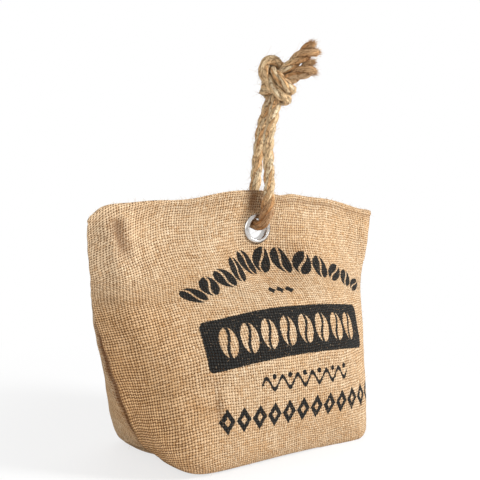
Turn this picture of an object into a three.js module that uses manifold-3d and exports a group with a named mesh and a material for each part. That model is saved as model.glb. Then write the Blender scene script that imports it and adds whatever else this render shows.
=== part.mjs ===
// A weighted door stop: a sand-filled sack of coarse jute cloth with a boxed, flat bottom and a
// pinched, straight-sewn top. A metal eyelet is set through the top, and a short loop of jute rope
// runs through it and is knotted above as a carrying handle.
// Millimetres, +Z up. The printed front faces -Y, and the origin is the middle of the base.

import * as THREE from "three";
import { mergeVertices } from "three/addons/utils/BufferGeometryUtils.js";
import Module from "manifold-3d";

// ---- Driving dimensions ------------------------------------------------------------------------

// Sack
const TOP_WIDTH = 240; // along the top seam, corner to corner
const BASE_WIDTH = 154; // the flat the sack stands on, at its widest
const BASE_DEPTH = 86;
const BELLY = 9; // how far the sand pushes the front and the back out past the base
const BELLY_HEIGHT = 42; // where it does so the most
const HEIGHT = 170; // base to the middle of the top seam
const CORNER_DROP = 13; // the top corners hang this far below the middle
const BASE_ROUND = 7; // how far the bottom edge rolls inwards under the filling
const SEAM_THICK = 3.2; // both cloth layers pressed together
const TOP_FLAT = 0.93; // the share of the height where the filling ends and the layers meet

// Eyelet
const EYELET_DEPTH = 25.8; // top seam down to the eyelet's centre
const HOLE_R = 6.8; // inside the barrel
const BARREL_WALL = 0.5;
const FLANGE_R = 10.2; // outer radius of both flanges
const FLANGE_THICK = 1.2;
const LIP_WIDTH = 1.1; // how far the barrel's end is rolled out over the washer
const LIP_THICK = 0.5;

// Rope
const ROPE_D = 7.2;
const ROPE_SIDES = 10;
const KNOT = { x: 11, y: 0, rise: 98, width: 28, depth: 26, height: 31 }; // rise: above the eyelet
const TAIL_SIDES = 8;

// Clearances between pieces that touch
const GAP = 0.3;

// ---- Values that follow from them --------------------------------------------------------------

const EYELET_Z = HEIGHT - EYELET_DEPTH;
const CLOTH_Y = SEAM_THICK / 2; // each face of the pressed cloth
const CLOTH_HOLE_R = HOLE_R + BARREL_WALL + GAP;

// ---- Materials ---------------------------------------------------------------------------------

const jute = new THREE.MeshStandardMaterial({ color: 0xcfa679, roughness: 0.95, metalness: 0 });
const nickel = new THREE.MeshStandardMaterial({ color: 0xd4d4d6, roughness: 0.28, metalness: 1 });
const rope = new THREE.MeshStandardMaterial({ color: 0xb59265, roughness: 0.9, metalness: 0 });

// ---- Helpers -----------------------------------------------------------------------------------

const wasm = await Module();
wasm.setup();

function toSolid(geometry) {
  const g = geometry.clone();
  g.deleteAttribute("normal");
  g.deleteAttribute("uv");
  const m = mergeVertices(g, 1e-4);
  const mesh = new wasm.Mesh({
    numProp: 3,
    vertProperties: new Float32Array(m.attributes.position.array),
    triVerts: new Uint32Array(m.index.array),
  });
  mesh.merge();
  return new wasm.Manifold(mesh);
}

function toGeometry(solid) {
  const mesh = solid.getMesh();
  const g = new THREE.BufferGeometry();
  const xyz = new Float32Array(mesh.numVert * 3);
  for (let i = 0; i < mesh.numVert; i++)
    for (let k = 0; k < 3; k++) xyz[3 * i + k] = mesh.vertProperties[i * mesh.numProp + k];
  g.setAttribute("position", new THREE.BufferAttribute(xyz, 3));
  g.setIndex(new THREE.BufferAttribute(new Uint32Array(mesh.triVerts), 1));
  g.computeVertexNormals();
  return g;
}

function named(name, geometry, material) {
  const mesh = new THREE.Mesh(geometry, material);
  mesh.name = name;
  return mesh;
}

const smooth = (a, b, t) => {
  const s = Math.min(1, Math.max(0, (t - a) / (b - a)));
  return s * s * (3 - 2 * s);
};

// ---- Sack --------------------------------------------------------------------------------------

// One level of the sack, at h from 0 at the base to 1 at the top seam: the half width, the half
// depth, and how square the plan is (2 is an ellipse, more is squarer).
function level(h) {
  const roll = BASE_ROUND * (1 - Math.sqrt(1 - (1 - Math.min(1, (h * HEIGHT) / 14)) ** 2));
  const halfWidth = THREE.MathUtils.lerp(BASE_WIDTH, TOP_WIDTH, h ** 1.25) / 2;
  const belly = BELLY_HEIGHT / HEIGHT;
  const full = BASE_DEPTH / 2 + BELLY;
  // Below the belly the depth eases out from the base, and above it runs in to the pressed top.
  const halfDepth =
    h < belly
      ? full - BELLY * (1 - h / belly) ** 2
      : CLOTH_Y + (full - CLOTH_Y) * Math.cos((Math.PI / 2) * smooth(-0.1, 1.0, (h - belly) / (TOP_FLAT - belly))) ** 1.1;
  return { halfWidth: halfWidth - roll, halfDepth: Math.max(CLOTH_Y, halfDepth - roll), square: 4.2 - 1.9 * h };
}

// The filling leaves a flat patch of pressed cloth round the eyelet.
function pinch(x, z, y) {
  const away = Math.hypot(x, z - EYELET_Z);
  return CLOTH_Y + (y - CLOTH_Y) * smooth(FLANGE_R + 4.5, FLANGE_R + 34, away);
}

function sackGeometry() {
  const middle = [0, 5, 10, 15, 21, 30, 42]; // finer round the eyelet
  const outer = 8; // steps from there to the side seam
  const levels = [0, 2, 5, 9, 14, 24, 33, 42, 52, 62, 73, 84, 95, 106, 117, 126, 133, 138, 143, 148, 153, 158, 164, 170];
  const rings = levels.map((mm) => {
    const h = mm / levels.at(-1);
    const { halfWidth, halfDepth, square } = level(h);
    const last = middle.at(-1);
    const xs = [...middle];
    for (let i = 1; i <= outer; i++) {
      const a = (i / outer) * (Math.PI / 2);
      xs.push(last + (halfWidth - last) * Math.sin(a));
    }
    const point = (x, side) => {
      const u = Math.min(1, Math.abs(x) / halfWidth);
      const z = h * HEIGHT;
      const y = halfDepth * Math.max(0, 1 - u ** square) ** (1 / square);
      const held = u === 1 ? 0 : pinch(x, z, Math.min(halfDepth, y));
      const drop = CORNER_DROP * (x / (TOP_WIDTH / 2)) ** 2 * h ** 2;
      return [x, side * held, z - drop];
    };
    const all = [...xs.slice(1).reverse().map((x) => -x), ...xs];
    const front = all.map((x) => point(x, -1));
    const back = all.slice(1, -1).reverse().map((x) => point(x, 1));
    return [...front, ...back];
  });

  const n = rings[0].length;
  const xyz = rings.flat(2);
  const faces = [];
  for (let r = 0; r + 1 < rings.length; r++)
    for (let i = 0; i < n; i++) {
      const a = r * n + i, b = r * n + ((i + 1) % n);
      faces.push(a, b, b + n, a, b + n, a + n);
    }
  // The base and the top edge are closed by strips from the front to the back of one ring.
  const strip = (start, up) => {
    const half = n / 2;
    for (let i = 0; i < half; i++) {
      const f0 = start + i, f1 = start + i + 1;
      const b0 = start + ((n - i) % n), b1 = start + ((n - i - 1) % n);
      const tri = (p, q, s) => {
        if (p !== q && q !== s && p !== s) faces.push(...(up ? [p, q, s] : [p, s, q]));
      };
      tri(f0, f1, b1);
      tri(f0, b1, b0);
    }
  };
  strip(0, false);
  strip((rings.length - 1) * n, true);

  const g = new THREE.BufferGeometry();
  g.setAttribute("position", new THREE.Float32BufferAttribute(xyz, 3));
  g.setIndex(faces);
  return g;
}

function sack() {
  const bore = new THREE.CylinderGeometry(CLOTH_HOLE_R, CLOTH_HOLE_R, 6 * SEAM_THICK, 32);
  bore.translate(0, 0, EYELET_Z); // its axis lies along Y, through both layers
  return named("sack", toGeometry(toSolid(sackGeometry()).subtract(toSolid(bore))), jute);
}

// ---- Eyelet ------------------------------------------------------------------------------------

// Both halves are turned profiles of [radius, distance in front of the cloth's middle], closed on
// themselves. A positive distance is towards the front.
function turned(profile) {
  const points = [...profile, profile[0]].reverse().map(([r, t]) => new THREE.Vector2(r, t));
  const g = new THREE.LatheGeometry(points, 40);
  g.rotateX(Math.PI); // the lathe's axis lies along Y, and its front now faces -Y
  g.translate(0, 0, EYELET_Z);
  return g;
}

const FLANGE_IN = CLOTH_Y + GAP; // the side of a flange that lies on the cloth
const FLANGE_OUT = FLANGE_IN + FLANGE_THICK;
const WASHER_OUT = FLANGE_OUT - 0.35; // the washer is flatter than the front flange
const LIP_IN = WASHER_OUT + GAP;
const BARREL_R = HOLE_R + BARREL_WALL;

function eyeletFront() {
  const rim = FLANGE_THICK / 2;
  const profile = [
    [HOLE_R, -LIP_IN],
    [HOLE_R, FLANGE_OUT - 0.9 * rim],
    [HOLE_R + 0.5 * rim, FLANGE_OUT - 0.2 * rim],
    [HOLE_R + 1.3 * rim, FLANGE_OUT],
    [FLANGE_R - 1.6 * rim, FLANGE_OUT - 0.1 * rim],
    [FLANGE_R - 0.5 * rim, FLANGE_OUT - 0.55 * rim],
    [FLANGE_R, FLANGE_IN + 0.5 * rim],
    [FLANGE_R - 0.3 * rim, FLANGE_IN],
    [BARREL_R, FLANGE_IN],
    [BARREL_R, -LIP_IN],
    [BARREL_R + LIP_WIDTH, -LIP_IN],
    [BARREL_R + LIP_WIDTH, -(LIP_IN + 0.5 * LIP_THICK)],
    [BARREL_R + 0.4 * LIP_WIDTH, -(LIP_IN + LIP_THICK)],
    [HOLE_R + 0.3 * BARREL_WALL, -(LIP_IN + 0.8 * LIP_THICK)],
  ];
  return named("eyelet_front", turned(profile), nickel);
}

function eyeletWasher() {
  const inner = BARREL_R + GAP;
  const t = WASHER_OUT - FLANGE_IN;
  const profile = [
    [inner, -FLANGE_IN],
    [FLANGE_R - 0.2 * t, -FLANGE_IN],
    [FLANGE_R, -(FLANGE_IN + 0.3 * t)],
    [FLANGE_R - 0.3 * t, -(FLANGE_IN + 0.75 * t)],
    [FLANGE_R - 0.8 * t, -WASHER_OUT],
    [inner, -WASHER_OUT],
  ];
  return named("eyelet_washer", turned(profile), nickel);
}

// ---- Rope --------------------------------------------------------------------------------------

// The loop's centreline: from the knot down the front, through the eyelet, and up the back. Heights
// count from the eyelet's centre. The rope rides on the top of the hole and stands off the flanges.
const RIDE = HOLE_R - GAP - ROPE_D / 2;
const OFF = FLANGE_OUT + GAP + ROPE_D / 2 + 0.7;
const APART = ROPE_D / 2 + 0.6; // half the distance between the two strands at the knot
const FOOT = KNOT.rise - KNOT.height / 2 + 0.98 - 0.3 * (ROPE_D / 2); // the strands' ends lean a little
const LOOP = [
  [9.5, -APART, FOOT],
  [6.0, -4.8, 74],
  [2.5, -5.4, 64],
  [1.6, -6.2, 52],
  [2.4, -7.0, 39],
  [3.0, -7.6, 26],
  [2.4, -OFF - 0.3, 15],
  [1.0, -OFF, RIDE + 5.2],
  [0.4, -0.82 * OFF, RIDE + 1.5],
  [0.1, -0.42 * OFF, RIDE + 0.05],
  [0.0, 0.0, RIDE],
  [0.0, 0.42 * OFF, RIDE + 0.05],
  [0.2, 0.82 * OFF, RIDE + 1.5],
  [0.9, OFF, RIDE + 5.2],
  [2.4, OFF + 0.1, 15],
  [3.6, 7.4, 26],
  [4.0, 6.8, 39],
  [3.9, 6.0, 52],
  [4.6, 5.2, 64],
  [6.6, 4.6, 74],
  [9.5, APART, FOOT],
];
const TAILS = [
  [[14, -4, 103], [21, -5, 108], [28, -5, 113], [36, -4, 119]],
  [[14, 4, 99], [22, 5, 101.5], [31, 5, 104], [40, 4, 107]],
];

function tube(points, diameter, sides, steps) {
  const placed = points.map(([x, y, z]) => new THREE.Vector3(x, y, EYELET_Z + z));
  const curve = new THREE.CatmullRomCurve3(placed, false, "centripetal");
  const section = new THREE.Shape();
  for (let i = 0; i < sides; i++) {
    const a = (2 * Math.PI * i) / sides;
    const [u, v] = [(diameter / 2) * Math.cos(a), (diameter / 2) * Math.sin(a)];
    if (i === 0) section.moveTo(u, v);
    else section.lineTo(u, v);
  }
  section.closePath();
  return new THREE.ExtrudeGeometry(section, { steps, bevelEnabled: false, extrudePath: curve });
}

function ropeLoop() {
  return named("rope_loop", tube(LOOP, ROPE_D, ROPE_SIDES, 72), rope);
}

function ropeKnot() {
  const lump = new THREE.SphereGeometry(0.5, 24, 16);
  lump.scale(KNOT.width, KNOT.depth, KNOT.height);
  lump.translate(KNOT.x, KNOT.y, EYELET_Z + KNOT.rise);
  let solid = toSolid(lump);
  for (const tail of TAILS) solid = solid.add(toSolid(tube(tail, ROPE_D, TAIL_SIDES, 10)));
  return named("rope_knot", toGeometry(solid), rope);
}

// ---- The whole door stop -----------------------------------------------------------------------

const doorStop = new THREE.Group();
doorStop.name = "door_stop";
doorStop.add(sack(), eyeletFront(), eyeletWasher(), ropeLoop(), ropeKnot());

export default doorStop;
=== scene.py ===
# %% [markdown]
# # A weighted door stop: a jute sack, an eyelet and a knotted rope
#
# The object is a small sack of coarse jute cloth, filled with sand and sewn shut. Its bottom is boxed, so
# that it stands, and its top is pinched flat. A metal eyelet is set through the pinched part, and one
# short length of rope runs through it and is knotted to itself as a handle.
#
# We work in metres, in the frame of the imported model: the front faces -Y, and Z points up. The packed
# model gives every size that matters here, so each piece is built around it and then stands for its node.

import bmesh
import bpy
import numpy as np
from math import atan, cos, exp, hypot, pi, radians, sin, sqrt
from mathutils import Matrix, Vector


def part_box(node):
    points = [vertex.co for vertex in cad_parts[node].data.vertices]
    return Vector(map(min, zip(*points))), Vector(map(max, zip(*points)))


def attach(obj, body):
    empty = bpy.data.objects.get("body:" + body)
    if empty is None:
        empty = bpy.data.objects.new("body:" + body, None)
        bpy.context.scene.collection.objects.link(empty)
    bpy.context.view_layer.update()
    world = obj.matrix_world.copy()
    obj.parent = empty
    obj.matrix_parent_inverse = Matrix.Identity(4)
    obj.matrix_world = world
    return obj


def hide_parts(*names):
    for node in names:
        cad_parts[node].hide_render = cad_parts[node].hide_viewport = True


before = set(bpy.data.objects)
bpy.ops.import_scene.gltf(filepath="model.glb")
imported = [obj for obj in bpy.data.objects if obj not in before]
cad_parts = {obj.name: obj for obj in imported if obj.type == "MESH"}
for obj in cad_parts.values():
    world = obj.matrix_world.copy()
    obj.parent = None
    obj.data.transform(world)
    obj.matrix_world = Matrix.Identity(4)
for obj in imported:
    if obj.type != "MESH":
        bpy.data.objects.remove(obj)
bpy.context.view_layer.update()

MM = 0.001
rng = np.random.default_rng(7)


def deselect():
    bpy.ops.object.select_all(action="DESELECT")


def mesh_object(name, vertices, faces):
    """A new object at the origin from plain lists of vertices and faces."""
    mesh = bpy.data.meshes.new(name)
    mesh.from_pydata([tuple(v) for v in vertices], [], [tuple(f) for f in faces])
    mesh.update()
    piece = bpy.data.objects.new(name, mesh)
    bpy.context.scene.collection.objects.link(piece)
    return piece


def use_only(piece):
    deselect()
    piece.select_set(True)
    bpy.context.view_layer.objects.active = piece


# %% [markdown]
# ## The camera
#
# The camera comes first, because everything after it is judged through it. The photo was taken from the
# front left, at about the height of the eyelet, with a moderate lens. A place, a point to look at, a small
# roll and a focal length say all of that.

# %% The camera
CAMERA_AT = Vector((-0.3805, -0.4205, 0.1875))
LOOK_AT = Vector((-0.0077, 0.0067, 0.136))
CAMERA_ROLL = radians(2.93)
LENS = 64.0

camera = bpy.data.objects.new("camera", bpy.data.cameras.new("camera"))
bpy.context.scene.collection.objects.link(camera)
camera.location = CAMERA_AT
turn = (LOOK_AT - CAMERA_AT).to_track_quat("-Z", "Y").to_matrix().to_4x4()
camera.rotation_euler = (turn @ Matrix.Rotation(CAMERA_ROLL, 4, "Z")).to_euler()
camera.data.lens = LENS
camera.data.clip_start = 0.01
bpy.context.scene.camera = camera
print("camera at", tuple(round(c, 3) for c in CAMERA_AT), "lens", LENS)

# %% [markdown]
# ## The rope's route
#
# One length of rope makes the whole handle. Its route starts at one tail, goes through the knot, down the
# front, through the eyelet, up the back and through the knot again to the other tail. The free stretch is
# a short list of points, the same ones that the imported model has. Heights count from the eyelet's middle.

# %% The rope's free stretch
sack_low, sack_high = map(Vector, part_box("sack"))
eyelet_low, eyelet_high = map(Vector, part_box("eyelet_front"))
EYELET = Vector((0, 0, (eyelet_low.z + eyelet_high.z) / 2))
HOLE_R = 6.8 * MM
RIDE = 2.9  # the rope's middle where it hangs on the top of the hole, above the hole's middle, in mm

LOOP = [
    (9.5, -4.2, 82.4), (6.0, -4.8, 74), (2.5, -5.4, 64), (1.6, -6.2, 52), (2.4, -7.0, 39),
    (3.0, -7.6, 26), (2.4, -8.0, 15), (1.0, -7.7, RIDE + 5.2), (0.4, -6.3, RIDE + 1.5),
    (0.1, -3.2, RIDE), (0.0, 0.0, RIDE), (0.0, 3.2, RIDE), (0.2, 6.3, RIDE + 1.5),
    (0.9, 7.7, RIDE + 5.2), (2.4, 7.8, 15), (3.6, 7.4, 26), (4.0, 6.8, 39), (3.9, 6.0, 52),
    (4.6, 5.2, 64), (6.6, 4.6, 74), (9.5, 4.2, 82.4),
]  # fmt: skip

# %% [markdown]
# ## The knot
#
# Both ends of the rope are tied together in one overhand knot. A knot's tight shape is hard to guess, but
# its loose shape is easy: we write down the route of a loose knot as seen from the camera (right, towards
# the viewer, up), with the two ropes side by side. Then we draw it tight. Each round
# shortens both ropes a little, and pushes apart whatever comes closer than a rope's thickness.

# %% The loose knot
KNOT_AT = Vector((11, 0, 98))  # mm, from the eyelet's middle
KNOT_TURN = radians(41.6)  # the direction it is seen from
LOOSE = [  # the middle of the pair, and the way from it to the front rope
    ((0, -5, -3), (0.9, 0.3, 0)), ((0, -3, 8), (0.9, 0.1, 0.4)), ((-4, -1, 14.5), (0.3, 0, 1)),
    ((-11, 2, 13), (-0.6, 0, 0.8)), ((-15, 4, 3), (-1, 0, 0)), ((-12, 8, -8), (-0.7, 0.2, -0.7)),
    ((-2, 10.5, -13), (0, 0.2, -1)), ((8.5, 8.5, -11), (0.5, 0.3, -0.8)), ((14, 0, -5), (0.3, 0, -1)),
    ((10, -10, 0), (0, -0.3, -1)), ((0, -13, 2), (0, -0.2, -1)), ((-8, -8, 3), (-0.2, 0, -1)),
    ((-7, 2, 2), (-0.5, 0, -0.9)), ((0, 8.5, 3), (0, 0.3, -1)), ((9, 8, 9), (0.4, 0.3, -0.85)),
    ((16.5, 5, 12.5), (0.3, 0.2, -1.0)), ((23, 4, 16), (0, 0, -1.68)),
]  # fmt: skip
SIDE_BY_SIDE = 4.0  # mm from the middle of the pair to each rope


def from_view(right, near, up):
    """A point given as seen from the camera, in mm from the eyelet's middle."""
    c, s = cos(KNOT_TURN), sin(KNOT_TURN)
    return np.array([right * c - near * s, -right * s - near * c, up]) + np.array(KNOT_AT)


def loose_rope(side, start):
    """One rope of the loose knot: where it comes up from the loop, then its way round to its tail."""
    points = [np.array(p, float) for p in start]
    for middle, out in LOOSE:
        length = max(1.0, np.linalg.norm(out))
        out = np.array(out, float) / np.linalg.norm(out) * length
        points.append(from_view(*(np.array(middle) + side * SIDE_BY_SIDE * out)))
    return np.array(points)


# %% Smooth lines and even spacing
def smooth_line(points, step):
    """A smooth curve through the points (Catmull-Rom), with even steps."""
    points = np.asarray(points, float)
    ends = np.vstack([2 * points[0] - points[1], points, 2 * points[-1] - points[-2]])
    t = np.linspace(0, 1, 24, endpoint=False)[:, None]
    parts = []
    for a, b, c, d in zip(ends[:-3], ends[1:-2], ends[2:-1], ends[3:]):
        parts.append(0.5 * (2 * b + (c - a) * t + (2 * a - 5 * b + 4 * c - d) * t**2
                            + (3 * b - a - 3 * c + d) * t**3))  # fmt: skip
    return respace(np.vstack(parts + [points[-1:]]), step)


def respace(line, step):
    run = np.r_[0, np.cumsum(np.linalg.norm(np.diff(line, axis=0), axis=1))]
    even = np.linspace(0, run[-1], int(round(run[-1] / step)) + 1)
    return np.stack([np.interp(even, run, line[:, k]) for k in range(3)], 1)


def length_of(line):
    return float(np.linalg.norm(np.diff(line, axis=0), axis=1).sum())


# %% Draw the knot tight
STEP = 1.8  # mm between the points of a rope while it is drawn tight
TOUCH = 6.3  # a tight knot squeezes the rope a little below its own thickness


def push_apart(points, first, second):
    """How far each point moves so that no two of the given pairs are nearer than TOUCH."""
    away = points[second] - points[first]
    gap = np.linalg.norm(away, axis=1)
    close = gap < TOUCH
    move, touches = np.zeros_like(points), np.ones(len(points))
    push = away[close] / gap[close][:, None] * ((TOUCH - gap[close]) / 2)[:, None]
    np.add.at(move, first[close], -push)
    np.add.at(move, second[close], push)
    np.add.at(touches, np.r_[first[close], second[close]], 1)
    return move / touches[:, None] ** 0.7


def draw_tight(ropes, rounds=60):
    for _ in range(rounds):
        ropes = [respace(rope, STEP) for rope in ropes]
        counts = [len(rope) for rope in ropes]
        points = np.vstack(ropes)
        place = np.r_[np.arange(counts[0]), np.arange(counts[1])]
        owner = np.repeat([0, 1], counts)
        first, second = np.triu_indices(len(points), 1)
        apart = (owner[first] != owner[second]) | (abs(place[first] - place[second]) * STEP > 1.7 * TOUCH)
        first, second = first[apart], second[apart]
        free = (place > 4) & (place < np.array(counts)[owner] - 2)
        for _ in range(12):
            pull = np.zeros_like(points)
            pull[1:-1] = 0.5 * (points[:-2] + points[2:]) - points[1:-1]
            points[free] += 0.35 * pull[free]
            for _ in range(4):
                points[free] += push_apart(points, first, second)[free]
        ropes = [points[: counts[0]], points[counts[0] :]]
    return ropes


loose = [loose_rope(+1, LOOP[2::-1]), loose_rope(-1, LOOP[-3:])]
front_end, back_end = draw_tight([smooth_line(points, STEP) for points in loose])
route = np.vstack([front_end[::-1], LOOP[3:-3], back_end])
route = smooth_line(route, 1.0)
for _ in range(3):
    route[1:-1] = 0.25 * route[:-2] + 0.5 * route[1:-1] + 0.25 * route[2:]
route = (respace(route, 1.0) * MM) + np.array(EYELET)
ROPE_LENGTH = length_of(route)
print("rope length", round(ROPE_LENGTH, 3), "m in", len(route), "points")

# %% [markdown]
# ## Three strands
#
# The rope is laid from three strands, each wound round the others once in about three rope diameters. A
# strand is a tube along its own helix, and the helix follows the route on a frame that turns as little as
# it can, so that bends don't add any twist. Near the cut ends the strands come apart, and just above the
# eyelet, in front of the cloth, they have opened a little too. Six shallow ridges on each strand are its
# yarns.

# %% Tubes along a line
def frames_along(line):
    """Two directions square to the line at each point, turned as little as possible on the way."""
    ahead = np.gradient(line, axis=0)
    ahead /= np.linalg.norm(ahead, axis=1)[:, None]
    side = np.cross(ahead[0], [0.3, 0.2, 1.0])
    sides = []
    for direction in ahead:
        side = side - direction * (side @ direction)
        side = side / np.linalg.norm(side)
        sides.append(side)
    sides = np.array(sides)
    return sides, np.cross(ahead, sides)


def tube(line, radius, around=10):
    """Rings of vertices along a line and the faces between them, with a closed cap at both ends."""
    across, up = frames_along(line)
    turn = np.linspace(0, 2 * pi, around, endpoint=False)
    if np.ndim(radius) < 2:
        radius = np.reshape(radius, (-1, 1))
    radius = np.broadcast_to(radius, (len(line), around))
    ring = np.cos(turn)[None, :, None] * across[:, None] + np.sin(turn)[None, :, None] * up[:, None]
    vertices = (line[:, None] + ring * radius[:, :, None]).reshape(-1, 3)
    faces = []
    for i in range(len(line) - 1):
        for k in range(around):
            a, b = i * around + k, i * around + (k + 1) % around
            faces.append((a, b, b + around, a + around))
    faces.append(tuple(range(around))[::-1])
    faces.append(tuple((len(line) - 1) * around + k for k in range(around)))
    return vertices, faces


# %% Soft steps and bumps
def ease(low, high, t):
    """0 below low and 1 above high, with a smooth step between them."""
    s = np.clip((t - low) / (high - low), 0, 1)
    return s * s * (3 - 2 * s)


def bump(t, middle, width):
    """1 in the middle, and softly down to 0 on both sides."""
    return np.exp(-(((t - middle) / width) ** 2))


# %% The strands' shape
LAY = 27 * MM  # one full turn of the strands
STRAND_OUT, STRAND_R = 1.62 * MM, 2.05 * MM
AROUND = 24
YARNS, YARN_TURN = 6, 11.0 * MM  # the yarns of a strand, and how far along one takes the next one's place
OPEN_END = 20 * MM  # how far from a cut end the lay begins to open

run = np.linspace(0, ROPE_LENGTH, len(route))
from_end = np.minimum(run, ROPE_LENGTH - run)
opening = np.clip(1 - from_end / OPEN_END, 0, 1) ** 1.2  # 1 at a cut end, 0 where the rope is sound
above = (route[:, 2] - EYELET.z) / MM  # how far above the eyelet the rope is
slack = bump(above, 14, 7) * (route[:, 1] < 0)  # in front of the cloth the lay has opened a little too
round_strand = np.linspace(0, 1, AROUND, endpoint=False)
yarns = np.cos(2 * pi * (YARNS * round_strand[None, :] + run[:, None] / YARN_TURN))
across, up = frames_along(route)

# %% Lay the rope
rope_vertices, rope_faces, rope_uv, strand_lines = [], [], [], []
for strand in range(3):
    angle = 2 * pi * (run / LAY + strand / 3)
    lump = 0.10 * np.sin(run / (6.1 * MM) + 2.1 * strand) + 0.06 * np.sin(run / (2.3 * MM) + strand)
    out = STRAND_OUT + opening * (1.5 + 0.35 * strand) * MM + 0.8 * MM * slack
    line = route + (np.cos(angle) * out)[:, None] * across + (np.sin(angle) * out)[:, None] * up
    strand_lines.append(line)
    thick = STRAND_R + (lump + 0.35 * opening + 0.35 * slack) * MM
    vertices, faces = tube(line, thick[:, None] + 0.22 * MM * yarns, AROUND)
    first = sum(map(len, rope_vertices))
    rope_vertices.append(vertices)
    rope_faces += [tuple(first + i for i in face) for face in faces]
    for face in faces:
        columns = [i % AROUND for i in face]
        if len(face) == 4 and max(columns) - min(columns) > 1:  # the last column meets the first one
            columns = [column or AROUND for column in columns]
        rope_uv += [(column / AROUND + strand, run[i // AROUND]) for column, i in zip(columns, face)]

rope = mesh_object("rope", np.vstack(rope_vertices), rope_faces)
uv_map = rope.data.uv_layers.new(name="Strand")
uv_map.data.foreach_set("uv", np.array(rope_uv, float).ravel())
rope.data.polygons.foreach_set("use_smooth", [len(face) == 4 for face in rope_faces])
print("rope:", len(rope.data.polygons), "faces")

# %% [markdown]
# ## Stray fibres
#
# Jute is hairy. Short fibres stand off the strands everywhere, and a brush of them stands at each cut end.
# Every fibre is a thin three-sided tube with a slight curl, and all of them are one mesh.

# %% Fibres
FIBRE_R = 0.085 * MM
FIBRE_POINTS, FIBRE_SIDES = 5, 3
ALONG_THE_ROPE, AT_EACH_STRAND_END = 1500, 420

fibre_vertices, fibre_faces = [], []


def unit(v):
    return v / np.linalg.norm(v)


def add_fibre(start, direction, length, curl):
    t = np.linspace(0, 1, FIBRE_POINTS)[:, None]
    line = start + direction * length * t + curl * length * t**2
    vertices, faces = tube(line, np.linspace(FIBRE_R, 0.3 * FIBRE_R, FIBRE_POINTS), FIBRE_SIDES)
    first = len(fibre_vertices) * FIBRE_POINTS * FIBRE_SIDES
    fibre_vertices.append(vertices)
    fibre_faces.extend(tuple(first + i for i in face) for face in faces)


# %% Along the rope and at its ends
for _ in range(ALONG_THE_ROPE):
    line = strand_lines[rng.integers(3)]
    i = int(rng.integers(3, len(line) - 3))
    outward, along = unit(line[i] - route[i]), unit(line[i + 1] - line[i - 1]) * rng.choice([-1, 1])
    start = line[i] + outward * STRAND_R * 0.93
    direction = unit(0.32 * outward + along + 0.22 * rng.normal(size=3))
    add_fibre(start, direction, rng.uniform(1.5, 5.5) * MM, 0.4 * rng.normal(size=3))
for end, step in ((0, 1), (-1, -1)):
    for line in strand_lines:
        ahead = unit(line[end] - line[end + 3 * step])
        for _ in range(AT_EACH_STRAND_END):
            start = line[end] - ahead * 1.5 * MM + rng.normal(size=3) * 1.0 * MM
            direction = unit(ahead + 0.20 * rng.normal(size=3))
            add_fibre(start, direction, rng.uniform(2.0, 4.6) * MM, 0.18 * rng.normal(size=3))

fibres = mesh_object("rope_fibres", np.vstack(fibre_vertices), fibre_faces)
print("fibres:", len(fibre_vertices))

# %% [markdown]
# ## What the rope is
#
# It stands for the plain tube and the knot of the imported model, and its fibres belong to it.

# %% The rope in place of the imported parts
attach(rope, "root")
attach(fibres, "root")
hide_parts("rope_loop", "rope_knot")

# %% [markdown]
# ## The sack's form
#
# The sack is two panels of cloth, front and back, sewn together at the sides and the top, with a boxed
# bottom. A sculpted block would lose the way the cloth lies, so the form is lofted from level outlines:
# each level is cut into equal steps of cloth from side seam to side seam. The steps give every vertex its
# place on the flat panel, which the weave, the print and the seams all follow later.

# %% The sack's sizes, in mm
TOP_WIDTH = (sack_high.x - sack_low.x) / MM
HEIGHT = (sack_high.z - sack_low.z) / MM
BASE_WIDTH, BASE_DEPTH = 152, 88
BELLY, BELLY_HEIGHT = 8, 42
CORNER_DROP = 17
BASE_ROUND, ROUND_UP = 5.5, 14  # how far the foot is rounded inwards, and up to which height
TOP_TRIM = 5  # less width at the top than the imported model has
CORNER_SQUARE, CORNER_SOFTENS = 9.5, 18.5  # how square the plan is at the bottom, and how soon that is lost
RIGHT_POINT, RIGHT_SOFTENS = 12.0, 5  # the right end's bottom corners are squarer still, low down
LEFT_OUT, RIGHT_IN = 7, 2.5  # the sand has slid to the left
RIGHT_LOW, LEFT_HIGH = 4.5, 1.8  # and so have the right end low down and the left end high up
LEFT_BACK = 19  # the pinched top runs a little askew: its left end lies further back
SLANT = LEFT_BACK / 120  # for each mm to the left
LEFT_ROUND = 4.2  # the left top corner has sunk in
LAYERS = 1.6  # each face of the pressed layers, from their middle
EYELET_Z = EYELET.z / MM
STEPS_ACROSS = 54  # of a panel, from seam to seam
STEPS_UP, STEPS_UNDER = 42, 20


def askew(x):
    """How far back the pinched top lies: evenly more to the left, forward and back again to the right."""
    return -SLANT * x * bump(np.maximum(x, 0), 0, 55)


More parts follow.
